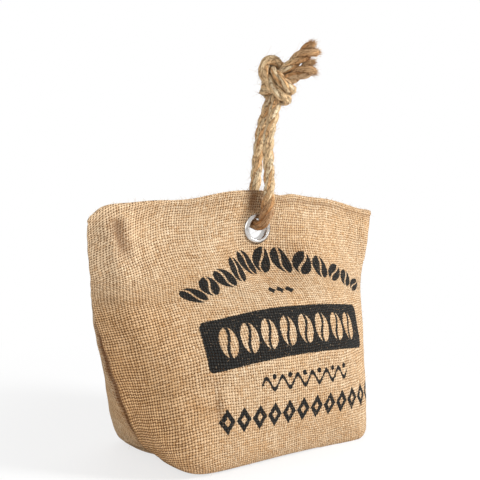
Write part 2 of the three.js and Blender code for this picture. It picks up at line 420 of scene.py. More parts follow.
# %% One level of the sack
def outline(z):
    """The outline at a height, from the left side seam to the right one: x, y in front and at the back."""
    h = z / HEIGHT
    roll = BASE_ROUND * (1 - sqrt(1 - (1 - min(1, z / ROUND_UP)) ** 2))
    half_width = (BASE_WIDTH + (TOP_WIDTH - TOP_TRIM - BASE_WIDTH) * h**0.6) / 2
    full = BASE_DEPTH / 2 + BELLY
    if z < BELLY_HEIGHT:
        half_depth = full - BELLY * (1 - z / BELLY_HEIGHT) ** 2
    else:
        rise = (z - BELLY_HEIGHT) / (0.97 * HEIGHT - BELLY_HEIGHT)
        half_depth = LAYERS + (full - LAYERS) * cos(pi / 2 * float(ease(-0.1, 1.0, rise))) ** 1.13
    # the plan is a rounded oblong, squarer where `square` is larger
    turn = np.linspace(pi, 0, 1441)
    square = 2.0 + (CORNER_SQUARE - 2.0) * exp(-z / CORNER_SOFTENS)
    square = np.where(np.cos(turn) > 0, square + RIGHT_POINT * exp(-z / RIGHT_SOFTENS), square)
    x = np.sign(np.cos(turn)) * abs(np.cos(turn)) ** (2 / square)
    roll = roll * (1 - 0.8 * ease(0.2, 0.95, x))  # the right corner has kept its point
    y = (half_depth - roll) * abs(np.sin(turn)) ** (2 / square)
    x = (half_width - roll) * x
    # both ends have moved to the left: by the middle height, the right one low down, the left one high up
    x = x - np.where(x < 0, LEFT_OUT, RIGHT_IN) * sin(pi * h) * ease(0.3, 1, abs(x) / half_width)
    x = x - RIGHT_LOW * ease(0.3, 1, x / half_width) * (1 - h) ** 2 * ease(0, 20, z)
    x = x - LEFT_HIGH * ease(0.3, 1, -x / half_width) * ease(0.35, 0.8, h)
    # the filling reaches into the top corners, the left one more
    corner = bump(z, 0.86 * HEIGHT, 22) * (7.0 * bump(x, -104, 11) + 4.0 * bump(x, 105, 10))
    y = y + corner * ease(0, 8, half_width - abs(x)) * ease(0, 9, HEIGHT - z)
    # pressed flat round the eyelet
    away = np.hypot(x, z - EYELET_Z)
    y = np.where(y > LAYERS, LAYERS + (y - LAYERS) * ease(13, 45, away), y)
    # equal steps of cloth from seam to seam
    x, y = respace(np.stack([x, y, 0 * x], 1), 0.5).T[:2]
    run = np.r_[0, np.cumsum(np.hypot(np.diff(x), np.diff(y)))]
    even = np.linspace(0, run[-1], STEPS_ACROSS + 1)
    cloth = even - run[-1] / 2
    x, y = np.interp(even, run, x), np.interp(even, run, y)
    # the top edge falls towards its corners, and sags beside the left one and where the rope presses
    drop = CORNER_DROP * (x / (TOP_WIDTH / 2)) ** 2 * h**2
    drop += h**3 * (4.0 * bump(x, -52, 24) - 2.5 * bump(x, -106, 14))
    drop += h**8 * (2.8 * bump(x, 17, 7) + 1.4 * bump(x, 42, 16))
    drop += h**8 * (0.9 * ease(70, 100, -x) - 2.4 * ease(98, 117, x))
    drop += LEFT_ROUND * ease(0, 9, 9 - x - half_width) ** 2 * h**5
    lean = askew(x) * ease(0, 0.88, h)
    return x, lean - y, lean + y, z - drop, cloth


# %% The levels, at equal steps of cloth up the front
fine = np.linspace(0, HEIGHT, 341)
front_y = np.array([outline(z)[1][STEPS_ACROSS // 2] for z in fine])
up_cloth = np.r_[0, np.cumsum(np.hypot(np.diff(fine), np.diff(front_y)))]
levels = np.interp(np.linspace(0, up_cloth[-1], STEPS_UP + 1), up_cloth, fine)


def cloth_height(z):
    """How far up the cloth a height is, measured on the middle of the front."""
    return float(np.interp(z, fine, up_cloth))


rings, cloth_x, cloth_z, panel = [], [], [], []
for z in levels:
    x, y_front, y_back, height, cloth = outline(z)
    back = slice(-2, 0, -1)
    ring = (np.r_[x, x[back]], np.r_[y_front, y_back[back]], np.r_[height, height[back]])
    rings.append(np.stack(ring, 1))
    cloth_x.append(np.r_[cloth, cloth[back]])
    cloth_z.append(np.full(2 * STEPS_ACROSS, cloth_height(z)))
    panel.append(np.r_[0.5, np.zeros(STEPS_ACROSS - 1), 0.5, np.ones(STEPS_ACROSS - 1)])
RING = 2 * STEPS_ACROSS
print("front panel:", round(2 * cloth_x[20].max()), "mm of cloth across,", round(up_cloth[-1]), "mm up")

# %% Walls, top edge and bottom
points = list(np.vstack(rings))
cloth_x, cloth_z, panel = (list(np.concatenate(part)) for part in (cloth_x, cloth_z, panel))
faces = []
for r in range(STEPS_UP):
    for i in range(RING):
        a, b = r * RING + i, r * RING + (i + 1) % RING
        faces.append((a, b, b + RING, a + RING))
top = STEPS_UP * RING
for i in range(STEPS_ACROSS):
    quad = (top + i, top + i + 1, top + (RING - i - 1) % RING, top + (RING - i) % RING)
    faces.append(tuple(dict.fromkeys(quad)))

bottom = {}
for i in range(1, STEPS_ACROSS):
    front, back = points[i], points[RING - i]
    bottom[i, 0], bottom[i, STEPS_UNDER] = i, RING - i
    for j in range(1, STEPS_UNDER):
        bottom[i, j] = len(points)
        points.append(front + (back - front) * j / STEPS_UNDER)
        cloth_x.append(front[0])
        cloth_z.append(-(points[-1][1] - front[1]))
        panel.append(2)
for j in range(STEPS_UNDER + 1):
    bottom[0, j], bottom[STEPS_ACROSS, j] = 0, STEPS_ACROSS
for i in range(STEPS_ACROSS):
    for j in range(STEPS_UNDER):
        quad = (bottom[i, j], bottom[i, j + 1], bottom[i + 1, j + 1], bottom[i + 1, j])
        faces.append(tuple(dict.fromkeys(quad)))
bottom_first = STEPS_UP * RING + STEPS_ACROSS

sack = mesh_object("jute_sack", np.array(points) * MM, faces)
for name, values in (("cloth_x", cloth_x), ("cloth_z", cloth_z), ("panel", panel)):
    sack.data.attributes.new(name, "FLOAT", "POINT").data.foreach_set("value", np.array(values, float))

# %% [markdown]
# ## The cloth's own map
#
# The UV map holds each face's place on the flat cloth, in metres, so that a yarn is as wide everywhere as
# it is on the loom. The back panel and the bottom are moved aside on the map, so that the print, which is
# placed by this map too, falls on the front alone.

# %% The map
BACK_ASIDE, BOTTOM_ASIDE = 0.6, 1.2


def cloth_uv(face_index, face, vertex):
    if face_index >= bottom_first:  # the bottom lies flat on the map
        return points[vertex][0] * MM + BOTTOM_ASIDE, points[vertex][1] * MM
    on_back = any(panel[v] == 1 for v in face)
    past = max(0.0, -58 - cloth_x[vertex])  # on the left the yarns sink towards the seam
    sunk = 0.32 * past**2 / (past + 14)
    return cloth_x[vertex] * MM + BACK_ASIDE * on_back, (cloth_z[vertex] + sunk) * MM


cloth_map = sack.data.uv_layers.new(name="Cloth")
flat = [cloth_uv(k, face, v) for k, face in enumerate(faces) for v in face]
cloth_map.data.foreach_set("uv", np.array(flat).ravel())
print("sack form:", len(points), "vertices,", len(faces), "faces")

# %% [markdown]
# ## Finer cloth
#
# The lofted form is coarse. Two rounds of subdivision make it fine and soften it everywhere, apart from the
# right end of the foot, where a crease keeps the edge. The crown of the panels is the loft's own: nothing
# here is simulated.

# %% Read and write vertices
def vertex_array(piece):
    flat = np.empty(len(piece.data.vertices) * 3)
    piece.data.vertices.foreach_get("co", flat)
    return flat.reshape(-1, 3)


def set_vertices(piece, array):
    piece.data.vertices.foreach_set("co", np.asarray(array).ravel())
    piece.data.update()


# %% Subdivide
coarse = vertex_array(sack)
pairs = np.empty(2 * len(sack.data.edges), int)
sack.data.edges.foreach_get("vertices", pairs)
pairs = pairs.reshape(-1, 2)
right_foot = (pairs < RING).all(1) & (coarse[pairs[:, 0], 0] > 30 * MM)
sack.data.attributes.new("crease_edge", "FLOAT", "EDGE").data.foreach_set("value", 0.9 * right_foot)
use_only(sack)
finer = sack.modifiers.new("Finer", "SUBSURF")
finer.levels = finer.render_levels = 2
finer.boundary_smooth = "PRESERVE_CORNERS"
bpy.ops.object.modifier_apply(modifier="Finer")
print("fine sack:", len(sack.data.polygons), "faces")

# %% [markdown]
# ## The hole for the eyelet
#
# Both layers get a round hole, and a short ring of cloth joins their edges, which the eyelet then covers.
# Deleting the faces inside a circle leaves a ragged edge, so its vertices are drawn onto the circle first.

# %% Open the hole
HOLE_IN_CLOTH = 7.8
shape = bmesh.new()
shape.from_mesh(sack.data)
middle = EYELET / MM
in_hole = []
for face in shape.faces:
    c = face.calc_center_median() / MM
    if hypot(c.x - middle.x, c.z - middle.z) < HOLE_IN_CLOTH and abs(c.y) < 6:
        in_hole.append(face)
bmesh.ops.delete(shape, geom=in_hole, context="FACES")
rims = [edge for edge in shape.edges if edge.is_boundary]
for vertex in {v for edge in rims for v in edge.verts}:
    away = Vector((vertex.co.x, 0, vertex.co.z - EYELET.z)).normalized() * HOLE_IN_CLOTH * MM
    vertex.co = Vector((away.x, vertex.co.y, EYELET.z + away.z))
bmesh.ops.bridge_loops(shape, edges=rims)
bmesh.ops.recalc_face_normals(shape, faces=shape.faces)
print("open edges left:", sum(edge.is_boundary for edge in shape.edges))
shape.to_mesh(sack.data)
shape.free()

# %% [markdown]
# ## Seams, creases and lumps
#
# What the loft is too coarse for is pressed into the fine mesh along its normals, in millimetres, by
# each vertex's place on the flat cloth: the side seams with a soft roll of cloth on both sides, the boxed
# seams at the ends of the bottom, the stitched line under the top edge, a crease beside the full left
# corner, and the gentle lumps of sand behind the cloth. Then the left side seam slides back a little, as
# the sack has been pulled askew. How deep each line lies is also kept for the material as painted shade
# in the seams, folds and stitched line, together with a painted shadow of the rope on the front.

# %% Read the cloth's places back
def attribute(name):
    values = np.empty(len(sack.data.vertices))
    sack.data.attributes[name].data.foreach_get("value", values)
    return values


def normals(piece):
    flat = np.empty(len(piece.data.vertices) * 3)
    piece.data.vertices.foreach_get("normal", flat)
    return flat.reshape(-1, 3)


at, facing = vertex_array(sack) / MM, normals(sack)
u, v, side = attribute("cloth_x"), attribute("cloth_z"), attribute("panel")
x, y, z = at.T
HALF = abs(u).max()
UP = up_cloth[-1]
wall = (side < 1.3) & (v > -0.5)
from_seam = HALF - abs(u) + 2.5 * (np.sin(v / 19 + 1) + 0.4 * np.sin(v / 7)) * 0.12
from_top = UP - v


def waves(seed, size, count=14):
    """Soft lumps: a sum of plain waves in random directions, about `size` mm apart."""
    source = np.random.default_rng(seed)
    total = np.zeros(len(at))
    for _ in range(count):
        direction = source.normal(size=3)
        direction *= 2 * pi / (size * source.uniform(0.7, 1.5)) / np.linalg.norm(direction)
        total += np.sin(at @ direction + source.uniform(0, 2 * pi))
    return total / sqrt(count)


# %% Seams
seam_fade = ease(4, 22, from_top)
end_wall = wall * ease(0.55, 0.85, abs(facing[:, 0]))
boxed = v - 7 - 1.5 * np.cos(y / 14)
from_eyelet = np.hypot(x, z - EYELET_Z)
stitched = wall * ease(12, 16, from_eyelet)

dent = wall * seam_fade * (-2.3 * bump(from_seam, 0, 1.5) + 0.6 * bump(from_seam, 4.4, 2.4))
dent += end_wall * (-1.6 * bump(boxed, 0, 1.2) + 0.5 * bump(boxed, -3.6, 2.0) + 0.4 * bump(boxed, 3.4, 2.0))
dent += stitched * (-0.5 * bump(from_top, 5.0, 0.9) + 0.25 * bump(from_top, 2.6, 1.6))

# %% Creases
front = wall & (side < 0.5)
crease_and_painted_shade = ease(146, 168, v) * ease(4, 14, from_top)
fold = u + 0.24 * (v - 165)
dent += front * crease_and_painted_shade * (-3.0 * bump(fold, -96, 4.2) + 1.2 * bump(fold, -107, 5.5))
dent += front * ease(118, 140, v) * ease(4, 14, from_top) * (-1.0 * bump(u - 0.12 * (v - 150), 98, 3.4))
dent += front * bump(v, 46, 11) * (-1.1 * bump(u, -59, 1.9) + 0.5 * bump(u, -54, 2.6))

# %% Puckers and lumps
pucker = np.exp(-np.clip(from_seam, 0, None) / 11) * np.sin(2 * pi * v / 15 + 1.3 * np.sin(v / 23))
lumps = 0.7 * waves(3, 60) + 0.2 * waves(5, 22)
pull = np.sin(7 * np.arctan2(x, z - EYELET_Z) + 0.8)
dent += wall * 0.25 * pucker * seam_fade
dent += wall * ease(2, 20, v) * ease(2, 26, from_top) * ease(20, 55, from_eyelet) * lumps
dent += wall * 0.45 * pull * bump(from_eyelet, 24, 10) * (z < EYELET_Z + 6)

# %% The painted shade in them
shade = wall * seam_fade * (1.2 + 0.4 * (u < 0)) * bump(from_seam, 0, 2.6)
shade += end_wall * 0.9 * bump(boxed, 0, 1.5)
shade += front * crease_and_painted_shade * 0.8 * bump(fold, -96, 6.5) + 0.3 * front * bump(v, 46, 11) * bump(u, -59, 3)
shade += stitched * (0.25 + 0.25 * ease(10, 40, u)) * bump(from_top, 5.0, 1.1)
shade += front * 0.85 * bump(x, -4.5, 4.2) * ease(9, 13, z - EYELET_Z)  # a painted shadow of the rope, just left of it above the eyelet
sack.data.attributes.new("crease_and_painted_shade", "FLOAT", "POINT").data.foreach_set("value", np.clip(shade, 0, 1))

# %% Press them in
at = at + facing * dent[:, None]
tucked = ease(50, 76, abs(x)) * bump(y, 0, 9) * bump(z, 0, 13)  # the ends of the bottom
slid_back = wall * (x < 0) * bump(from_seam, 0, 15) * bump(v, 66, 36)  # the left side seam
at[:, 0] -= 4.5 * np.sign(x) * tucked
at[:, 1] += 5.0 * slid_back
at[:, 2] = np.maximum(at[:, 2], 0)
set_vertices(sack, at * MM)
sack.data.polygons.foreach_set("use_smooth", [True] * len(sack.data.polygons))

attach(sack, "root")
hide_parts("sack")
print("sack box, mm:", at.min(0).round(1), at.max(0).round(1))

# %% [markdown]
# ## Loose fibres of the cloth
#
# The cloth is hairy too, with short fibres all over its walls and most of all on the top edge, where they
# stand up against the white behind them.

# %% Loose fibres of the cloth
fibre_vertices, fibre_faces = [], []
on_edge = np.flatnonzero(wall & (from_top < 1.0))
on_walls = np.flatnonzero(wall & (from_top >= 1.0))
for spots, count, longest, upwards in ((on_edge, 260, 2.6, 0.5), (on_walls, 900, 2.2, 0.0)):
    for i in rng.choice(spots, count):
        direction = unit(0.6 * facing[i] + 0.7 * rng.normal(size=3) + np.array([0, 0, upwards]))
        start = at[i] * MM - direction * 0.4 * MM
        add_fibre(start, direction, rng.uniform(1.0, longest) * MM, 0.5 * rng.normal(size=3))

cloth_fibres = mesh_object("cloth_fibres", np.vstack(fibre_vertices), fibre_faces)
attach(cloth_fibres, "root")
print("loose fibres of the cloth:", len(fibre_vertices))

# %% [markdown]
# ## The eyelet
#
# An eyelet is two turned rings: a front flange with a barrel that goes through the cloth, and a washer
# behind, over which the barrel's end is rolled. Each is modelled as it is made: its section is drawn once
# and spun round the eyelet's axis, and a subdivision rounds the edges. Both are turned a little to lie flat
# on the askew top.

# %% Spin a section
def spun_ring(name, section, steps=40):
    """A ring from a closed section of (radius, distance in front of the cloth's middle), in mm."""
    corners = [(r * MM, -t * MM, EYELET.z) for r, t in section]
    mesh = bpy.data.meshes.new(name)
    mesh.from_pydata(corners, [(i, (i + 1) % len(corners)) for i in range(len(corners))], [])
    piece = bpy.data.objects.new(name, mesh)
    bpy.context.scene.collection.objects.link(piece)
    use_only(piece)
    bpy.ops.object.mode_set(mode="EDIT")
    bpy.ops.mesh.select_all(action="SELECT")
    bpy.ops.mesh.spin(steps=steps, angle=2 * pi, center=tuple(EYELET), axis=(0, 1, 0))
    bpy.ops.mesh.select_all(action="SELECT")
    bpy.ops.mesh.remove_doubles(threshold=0.01 * MM)
    bpy.ops.mesh.normals_make_consistent(inside=False)
    bpy.ops.object.mode_set(mode="OBJECT")
    rounded = piece.modifiers.new("Rounded", "SUBSURF")
    rounded.levels = rounded.render_levels = 2
    bpy.ops.object.modifier_apply(modifier="Rounded")
    bpy.ops.object.shade_smooth()
    bpy.ops.object.mode_set(mode="EDIT")
    bpy.ops.mesh.select_all(action="SELECT")
    bpy.ops.transform.rotate(value=atan(SLANT), orient_axis="Z", center_override=tuple(EYELET))
    bpy.ops.object.mode_set(mode="OBJECT")
    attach(piece, "root")
    print(name, len(piece.data.polygons), "faces")
    return piece


# %% The two halves
FLANGE_R = (eyelet_high.x - eyelet_low.x) / 2 / MM
hole = HOLE_R / MM
front_section = [
    (hole - 0.02, -3.2), (hole - 0.02, -1.0), (hole - 0.02, 1.6), (hole + 0.1, 2.5), (hole + 0.55, 3.15),
    (hole + 1.3, 3.3), (hole + 2.1, 3.05), (FLANGE_R - 0.35, 2.55), (FLANGE_R + 0.05, 2.1),
    (FLANGE_R - 0.1, 1.8), (FLANGE_R - 0.6, 1.85), (hole + 1.4, 2.0), (hole + 0.5, 1.85), (hole + 0.45, 0),
    (hole + 0.45, -2.9), (hole + 0.8, -3.05), (hole + 1.6, -3.0), (hole + 1.75, -3.25),
    (hole + 1.4, -3.55), (hole + 0.6, -3.6), (hole + 0.1, -3.45),
]  # fmt: skip
back_section = [
    (hole + 0.85, -1.9), (hole + 2.0, -1.88), (FLANGE_R - 0.3, -1.88), (FLANGE_R, -2.1),
    (FLANGE_R - 0.2, -2.45), (FLANGE_R - 0.9, -2.7), (hole + 1.7, -2.74), (hole + 0.85, -2.7),
]  # fmt: skip
eyelet = spun_ring("eyelet_flange", front_section)
washer = spun_ring("eyelet_back", back_section)
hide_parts("eyelet_front")
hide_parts("eyelet_washer")

# %% [markdown]
# ## Helpers for materials
#
# A pattern in Blender is arithmetic on coordinates. We wrap a node's output in a small class that adds a
# math node for every +, -, * and /, so that a formula reads here as it does on paper. Node outputs and
# plain numbers can be mixed in it.

# %% Formulas that write nodes
def fill(node, values):
    """Set a node's inputs in order, each by a Value, a number or a colour. None leaves one as it is."""
    for socket, value in zip(node.inputs, values):
        if isinstance(value, Value):
            node.id_data.links.new(value.socket, socket)
        elif value is not None:
            socket.default_value = (*value, 1) if isinstance(value, tuple) else value
    return node


def do(operation, *values):
    """A math node, in the node tree of the first Value that it is given."""
    tree = next(value.socket.id_data for value in values if isinstance(value, Value))
    node = tree.nodes.new("ShaderNodeMath")
    node.operation = operation
    return Value(fill(node, values).outputs[0])


class Value:
    """A node's output, as a term of a formula."""

    def __init__(self, socket):
        self.socket = socket

    def __add__(self, other):
        return do("ADD", self, other)

    def __sub__(self, other):
        return do("SUBTRACT", self, other)

    def __rsub__(self, other):
        return do("SUBTRACT", other, self)

    def __mul__(self, other):
        return do("MULTIPLY", self, other)

    def __truediv__(self, other):
        return do("DIVIDE", self, other)

    def __abs__(self):
        return do("ABSOLUTE", self)


def distance(a, b):
    return do("SQRT", a * a + b * b)


# %% The other nodes
class Sheet:
    """A node tree, with the nodes that our patterns use beside plain arithmetic."""

    def __init__(self, tree):
        self.tree = tree

    def add(self, kind, *values, **settings):
        node = self.tree.nodes.new("ShaderNode" + kind)
        for name, setting in settings.items():
            setattr(node, name, setting)
        return fill(node, values)

    def link(self, value, socket):
        self.tree.links.new(value.socket, socket)

    def object_place(self):
        return Value(self.add("TexCoord").outputs["Object"])

    def map_place(self, name):
        """The point's place on a UV map."""
        return Value(self.add("UVMap", uv_map=name).outputs[0])

    def stored(self, name):
        """What the mesh stores for the point under this name."""
        return Value(self.add("Attribute", attribute_name=name).outputs["Fac"])

    def vector(self, x, y, z):
        return Value(self.add("CombineXYZ", x, y, z).outputs[0])

    def split(self, vector):
        return [Value(socket) for socket in self.add("SeparateXYZ", vector).outputs]

    def noise(self, vector, scale, detail=2.0, roughness=0.5):
        node = self.add("TexNoise", vector)
        node.inputs["Scale"].default_value = scale
        node.inputs["Detail"].default_value = detail
        node.inputs["Roughness"].default_value = roughness
        return Value(node.outputs["Fac"])

    def random(self, value):
        """A random number from 0 to 1, always the same one for the same value."""
        node = self.add("TexWhiteNoise", noise_dimensions="1D")
        self.link(value, node.inputs["W"])
        return Value(node.outputs["Value"])

    def between(self, value, low, high, to_low=0.0, to_high=1.0):
        """Map low..high to to_low..to_high, smoothly and clamped."""
        node = self.add("MapRange", value, low, high, to_low, to_high, interpolation_type="SMOOTHSTEP")
        return Value(node.outputs[0])

    def choose(self, factor, a, b):
        """a where factor is 0, b where it is 1."""
        return Value(self.add("Mix", factor, None, a, b).outputs[0])

    def blend(self, factor, a, b):
        """The same for colours."""
        unused = [None] * 5
        return Value(self.add("Mix", factor, *unused, a, b, data_type="RGBA").outputs[2])

    def tones(self, value, *stops):
        """A colour for each value, from stops of (value, colour)."""
        node = self.add("ValToRGB", value)
        elements = node.color_ramp.elements
        while len(elements) < len(stops):
            elements.new(0.5)
        for element, (place, colour) in zip(elements, stops):
            element.position, element.color = place, (*colour, 1)
        return Value(node.outputs[0])


def new_material(name, **values):
    """A material, its sheet and its shader, which gets the constant values."""
    material = bpy.data.materials.new(name)
    material.use_nodes = True
    shader = material.node_tree.nodes["Principled BSDF"]
    for title, value in values.items():
        shader.inputs[title.replace("_", " ")].default_value = value
    return material, Sheet(material.node_tree), shader


def add_bump(sheet, shader, height, metres):
    """Let a height from 0 to 1 stand that many metres off the surface."""
    node = sheet.add("Bump")
    node.inputs["Distance"].default_value = metres
    sheet.link(height, node.inputs["Height"])
    sheet.link(Value(node.outputs[0]), shader.inputs["Normal"])


# %% [markdown]
# ## Twisted jute, as a group
#
# Yarn and rope are the same stuff: bundles of coarse fibres with a slight twist. One group makes it from
# two coordinates, across the bundle and along it, and gives streaks that run along the bundle and the tone
# of the jute there. The cloth uses it twice, for warp and weft, and the rope uses it for its strands.

# %% Jute fibre group
fibre_tree = bpy.data.node_groups.new("Jute fibre", "ShaderNodeTree")
for title in ("Across", "Along", "Seed"):
    fibre_tree.interface.new_socket(title, in_out="INPUT", socket_type="NodeSocketFloat")
fibre_tree.interface.new_socket("Streak", in_out="OUTPUT", socket_type="NodeSocketFloat")
fibre_tree.interface.new_socket("Colour", in_out="OUTPUT", socket_type="NodeSocketColor")
across, along, seed = [Value(socket) for socket in fibre_tree.nodes.new("NodeGroupInput").outputs[:3]]
group_output = fibre_tree.nodes.new("NodeGroupOutput").inputs

s = Sheet(fibre_tree)
TWIST = 0.35  # how far the fibres lean over, for each step along
streak = s.noise(s.vector(along * TWIST + across, along * 0.16, seed), 5.0, 3.0, 0.6)
tone = s.noise(s.vector(seed, along * 0.09, seed), 2.0, 2.0)
colour = s.tones(streak * 0.62 + tone * 0.38,
                 (0.30, (0.37, 0.23, 0.115)), (0.45, (0.61, 0.425, 0.255)),
                 (0.56, (0.725, 0.545, 0.355)), (0.72, (0.82, 0.68, 0.505)))  # fmt: skip
s.link(streak, group_output["Streak"])
s.link(colour, group_output["Colour"])


def jute(sheet, across, along, seed):
    """The streak and the colour of twisted jute at a place on a bundle."""
    outputs = sheet.add("Group", across, along, seed, node_tree=fibre_tree).outputs
    return Value(outputs["Streak"]), Value(outputs["Colour"])


# %% [markdown]
# ## The cloth: a plain weave
#
# In a plain weave each warp yarn goes over one weft yarn and under the next. On the flat cloth, the whole
# part of the coordinates says which two yarns cross, and the rest says where in the crossing we are. Each
# yarn's section is a half circle, raised or lowered by a cosine along it, and the higher one is seen.
# Yarns differ in width, and they wander a little.

# %% Warp and weft
YARN = 1.75 * MM
WANDER = 1.5

cloth_material, s, shader = new_material("jute cloth", Roughness=0.95, Specular_IOR_Level=0.1)
on_cloth = s.map_place("Cloth")
place = s.split(on_cloth)
wander_x = s.noise(on_cloth, 55, 1.0) - 0.5
wander_y = s.noise(s.vector(place[1], place[0], 3.0), 55, 1.0) - 0.5
warp = wander_x * WANDER + place[0] / YARN
weft = wander_y * WANDER + place[1] / (YARN * 1.02)
warp_number, weft_number = do("FLOOR", warp), do("FLOOR", weft)
in_warp = do("FRACT", warp) - 0.5
in_weft = do("FRACT", weft) - 0.5
over = do("FLOORED_MODULO", warp_number + weft_number, 2.0) * -2.0 + 1.0  # +1 or -1, like a chessboard


# %% Which yarn is on top
def yarn(number, seed, across, along, along_number, sign):
    """One yarn's height at a crossing, with its own width and its slubs."""
    own = s.random(number + seed)
    slub = s.noise(s.vector(number * 3.7, along * 0.16, seed), 1.0, 1.0)
    width = own * 0.10 + 0.36 + (slub - 0.5) * 0.40
    ratio = across / width
    section = do("SQRT", do("MAXIMUM", 1.0 - ratio * ratio, 0.0))
    wave = do("COSINE", along_number * pi) * (over * sign)
    return section * (wave * 0.36 + 0.64), own


warp_height, warp_own = yarn(warp_number, 11.3, in_warp, weft, in_weft, 1.0)
weft_height, weft_own = yarn(weft_number, 57.7, in_weft, warp, in_warp, -1.0)
warp_seen = do("GREATER_THAN", warp_height, weft_height)
warp_streak, warp_colour = jute(s, warp, weft, warp_own * 40.0)
weft_streak, weft_colour = jute(s, weft, warp, weft_own * 40.0 + 80.0)
height = do("MAXIMUM", warp_height, weft_height)
streak = s.choose(warp_seen, weft_streak, warp_streak)
colour = s.blend(warp_seen, weft_colour, warp_colour)

# %% [markdown]
# ## The cloth's colours
#
# The raw weave would look new and even. Large soft patches and small stains make it browner, the stains
# most of all low on the left. The left is browner still, most of all low down, partly its own tone and
# partly painted shade of the side turned from the light. The upper left is a little paler, which is
# painted light. Some crossings are dark by chance. Where no yarn covers, a gap shows, painted dark as
# shade between the yarns, and it is wider where the cloth is browner and shaded. Along the seams and
# folds, whose places were stored on the mesh, painted shade makes the cloth darkest.

# %% Patches, stains and gaps
PATCH, BROWN_AND_SHADE, PALE_PAINTED_LIGHT, STAIN = (0.56, 0.30, 0.11), (0.92, 0.53, 0.235), (1.0, 0.75, 0.49), (0.52, 0.26, 0.09)
DARK_CROSSING, GAP_SHADE, FOLD_SHADE = (0.42, 0.21, 0.075), (0.17, 0.075, 0.025), (0.13, 0.052, 0.018)

patches = s.noise(on_cloth, 26, 2.0)
stains = s.noise(s.vector(place[1], place[0], 7.0), 17, 2.0)
# browner on the left, most of all low down: partly the cloth's own tone, partly painted shade of the side
# turned from the light
browner_and_shaded = s.between(place[0] + patches * 0.05, -0.085, -0.015, 0.45, 0.0)
browner_and_shaded = browner_and_shaded * s.between(place[1], 0.11, 0.17, 1.0, 0.1)
browner_and_shaded = browner_and_shaded * s.between(place[1], 0.03, 0.10, 1.3, 1.0)
# painted light: the upper left is made a little paler
painted_light_upper_left = s.between(place[1], 0.115, 0.165, 0.0, 0.5) * s.between(place[0], -0.10, -0.05, 1.0, 0.0)
stained = s.between(stains, 0.50, 0.72) * (browner_and_shaded * 1.25 + 0.15)
crossing = s.random(do("MULTIPLY_ADD", warp_number, 17.3, weft_number * 3.1))

colour = s.blend(s.between(patches, 0.42, 0.75, 0.0, 0.30), colour, PATCH)
colour = s.blend(browner_and_shaded, colour, BROWN_AND_SHADE)
colour = s.blend(painted_light_upper_left, colour, PALE_PAINTED_LIGHT)
colour = s.blend(stained, colour, STAIN)
colour = s.blend(s.between(crossing, 0.45, 1.0, 0.0, 0.42), colour, DARK_CROSSING)
# painted shade: the gaps between the yarns are dark, and wider where the cloth is browner and shaded
shown = s.between(height, s.choose(browner_and_shaded, 0.19, 0.55), s.choose(browner_and_shaded, 0.74, 1.05))
cloth_colour = s.blend(shown, GAP_SHADE, colour)
# painted shade: darkest along the seams, folds and stitched line, and in the rope's painted shadow
cloth_colour = s.blend(s.stored("crease_and_painted_shade") * 0.85, cloth_colour, FOLD_SHADE)

# %% [markdown]
# ## The print
#
# The front carries a screen print in black. Here it is made of plain motifs: an arched row of beans, three
# small diamonds, a solid bar with beans left bare, a waved line and a row of lozenges. Each motif is a
# formula on the flat cloth in millimetres, and a row is one motif repeated by rounding its coordinate. The
# ink lies on the yarns' tops and skips the gaps, so the weave shows through it, as it does on jute.

# %% Where the print lies, in mm on the flat cloth
PRINT_MIDDLE = 6.0
ARCH_MIDDLE, ARCH_TOP, ARCH_R, ARCH_PITCH, ARCH_BEANS = 7.5, 146.0, 116.0, 14.0, 12
MARK_AT, MARK_PITCH, MARK_SIZE = 119.0, 7.0, 3.2
BAR_AT, BAR_WIDE, BAR_HIGH, BAR_CORNER, BAR_PITCH = 89.5, 134.0, 32.0, 3.5, 14.6
BAR_RISE, BAR_RISE_MIDDLE = 5.5, 9.0
WAVE_AT, WAVE_WIDE, WAVE_SHIFT, WAVE_PITCH, WAVE_HIGH = 57.5, 76.0, 4.0, 12.5, 3.6
ROW_AT, ROW_PITCH, ROW_EACH_SIDE, ROW_SHIFT = 38.0, 11.9, 5.5, 6.0
PRINTED_BEAN, BARE_BEAN, LOZENGE = (6.5, 10.4), (5.9, 9.8), (5.6, 8.0)  # half the width and half the height

fray = s.noise(on_cloth, 900, 1.0)
print_u = place[0] / MM - PRINT_MIDDLE + (fray * 1.4 - 0.7)
print_v = place[1] / MM + (fray * -1.4 + 0.7)


# %% Tools for motifs
def soft_below(value, limit, soft=0.25):
    """1 where the value is below the limit and 0 above it, with a soft edge."""
    return s.between(value, limit - soft, limit + soft, 1.0, 0.0)


def repeat(value, pitch, shift=0.0):
    """The number of the nearest motif in a row, and the place within it."""
    number = do("ROUND", value / pitch + shift)
    return number, value - (number - shift) * pitch


def within(value, limit):
    return soft_below(abs(value), limit)


def bean(x, y, half_size, slit=0.75):
    """An oval with a curved slit left bare along its middle."""
    half_wide, half_high = half_size
    across, up = x / half_wide, y / half_high
    body = soft_below(across * across + up * up, 1.0, 0.06)
    bend = do("SINE", y * (2.6 / half_high)) * (0.26 * half_wide)
    return body * (1.0 - within(x - bend, slit))


# %% Arched row of beans
from_centre = print_v - (ARCH_TOP - ARCH_R)
arch_u = print_u - ARCH_MIDDLE
round_arch = do("ARCTAN2", arch_u, from_centre) * ARCH_R
number, x = repeat(round_arch, ARCH_PITCH, 0.5)
y = distance(arch_u, from_centre) - ARCH_R
tilt = do("FLOORED_MODULO", number, 2.0) * 0.5 - 0.25  # they lean to the left and the right by turns
arch = bean(x + y * tilt, y - x * tilt, PRINTED_BEAN) * within(round_arch, ARCH_BEANS * ARCH_PITCH / 2)

# %% Three diamonds
number, x = repeat(print_u, MARK_PITCH)
y = print_v - MARK_AT
mark = soft_below(abs(x) + abs(y), MARK_SIZE) * within(number, 1.5)

